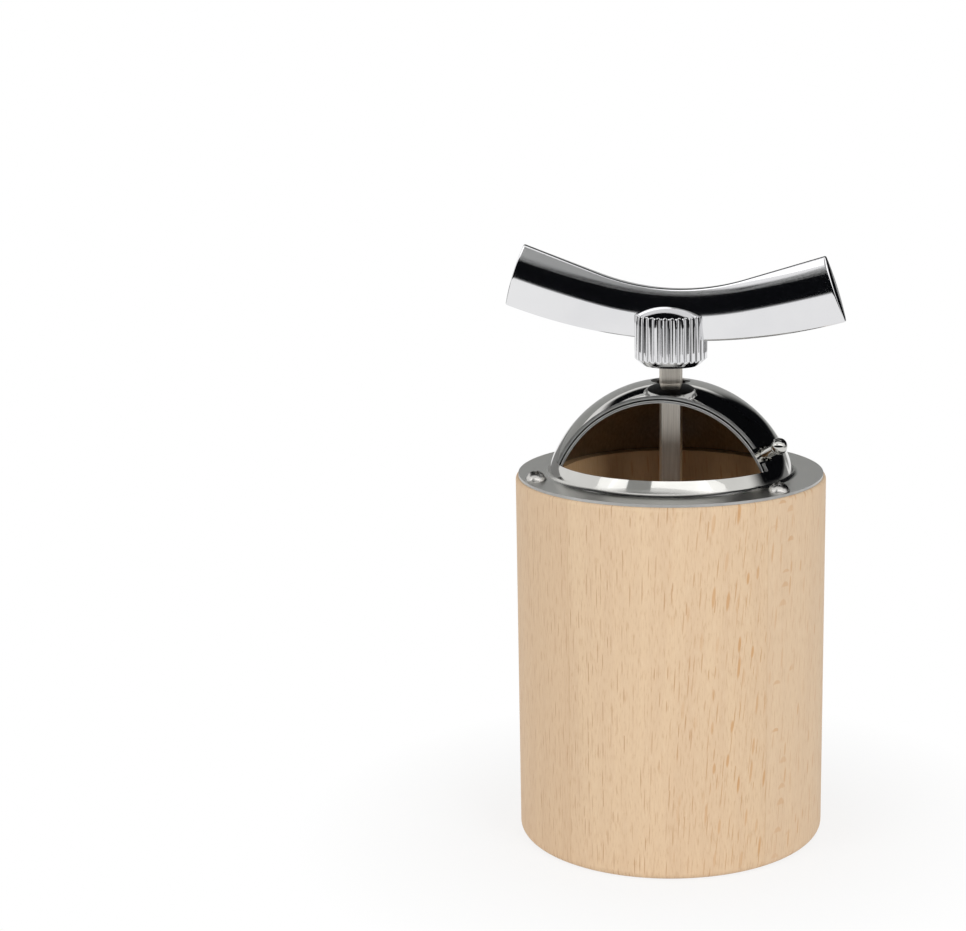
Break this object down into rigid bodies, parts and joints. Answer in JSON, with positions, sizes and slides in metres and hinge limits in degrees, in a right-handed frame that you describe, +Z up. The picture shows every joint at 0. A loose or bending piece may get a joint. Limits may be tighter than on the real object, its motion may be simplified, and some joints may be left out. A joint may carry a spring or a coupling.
{
  "type": "flaxseed mill",
  "caption": "Upright hand mill for flaxseed: round wooden body, domed steel lid with a turning fill shutter, and a winged crank handle that drives burrs in the foot.",
  "frame": {"origin": "centre of the body's foot, on the table", "axes": "+Z up along the shaft; -Y to the front, where the filling window faces; +X to the right seen from the front"},
  "size_m": [0.0772, 0.068, 0.13],
  "materials": {
    "beech": "satin, lightly sealed",
    "polished_steel": "mirror polished stainless sheet",
    "chromed_zinc": "mirror chrome",
    "shaft_steel": "drawn bar, lightly brushed",
    "screw_steel": "bright zinc plated",
    "plate_steel": "plain rolled",
    "burr_steel": "hardened, dark",
    "spring_steel": "drawn wire",
    "brown_plastic": "moulded, matt",
    "bronze": "sintered, matt"
  },
  "bodies": {
    "case": {"wood_body": "beech", "dome_cover": "polished_steel", "cover_screws": "screw_steel", "dome_bush": "brown_plastic", "shaft_bridge": "plate_steel", "bridge_bush": "bronze", "bridge_screws": "screw_steel", "fixed_burr": "burr_steel", "burr_keys": "plate_steel", "base_ring": "plate_steel", "base_screws": "screw_steel"},
    "crank": {"wing_handle": "chromed_zinc", "fluted_hub": "chromed_zinc", "drive_shaft": "shaft_steel", "thrust_washer": "plate_steel", "shaft_clip": "spring_steel", "spring_seat": "plate_steel", "burr_spring": "spring_steel", "turning_burr": "burr_steel", "burr_washer": "plate_steel", "burr_nut": "screw_steel"},
    "shutter": {"shutter": "polished_steel", "shutter_knob": "polished_steel"}
  },
  "joints": [
    {"name": "crank_spin", "type": "hinge", "parent": "case", "child": "crank", "pos_m": [0, 0, 0.09], "axis": [0, 0, 1], "continuous": true},
    {"name": "shutter_turn", "type": "hinge", "parent": "case", "child": "shutter", "pos_m": [0, 0, 0.0738], "axis": [0, 0, 1], "range_deg": [-122.8, 0]}
  ]
}
